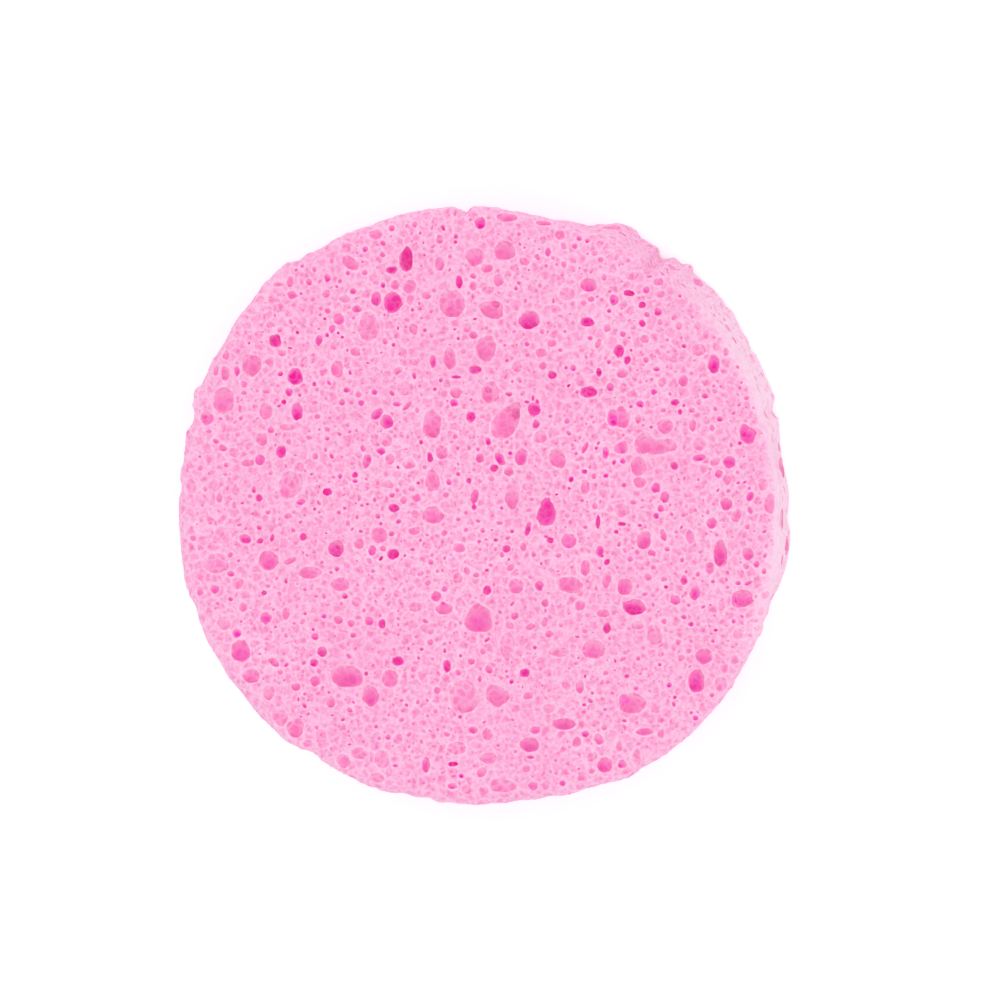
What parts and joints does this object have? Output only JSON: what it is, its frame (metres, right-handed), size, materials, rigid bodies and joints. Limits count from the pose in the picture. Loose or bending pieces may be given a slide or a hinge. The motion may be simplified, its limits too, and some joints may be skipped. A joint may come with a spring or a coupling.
{
  "type": "facial cleansing sponge",
  "caption": "Round flat open-celled cellulose sponge disc for wiping and cleansing the face, with two cut faces and a punched edge.",
  "frame": {"origin": "middle of the flat back face, which the sponge lies on", "axes": "+Z up through the thickness, from the back face to the working face; +X to the right and +Y up as the working face is seen in the picture"},
  "size_m": [0.0751, 0.0747, 0.012],
  "materials": {
    "cellulose_sponge": "matte open-celled regenerated cellulose dyed pink through its whole thickness, darker and more saturated inside the cells"
  },
  "bodies": {
    "root": {"sponge_disc": "cellulose_sponge"}
  },
  "joints": []
}
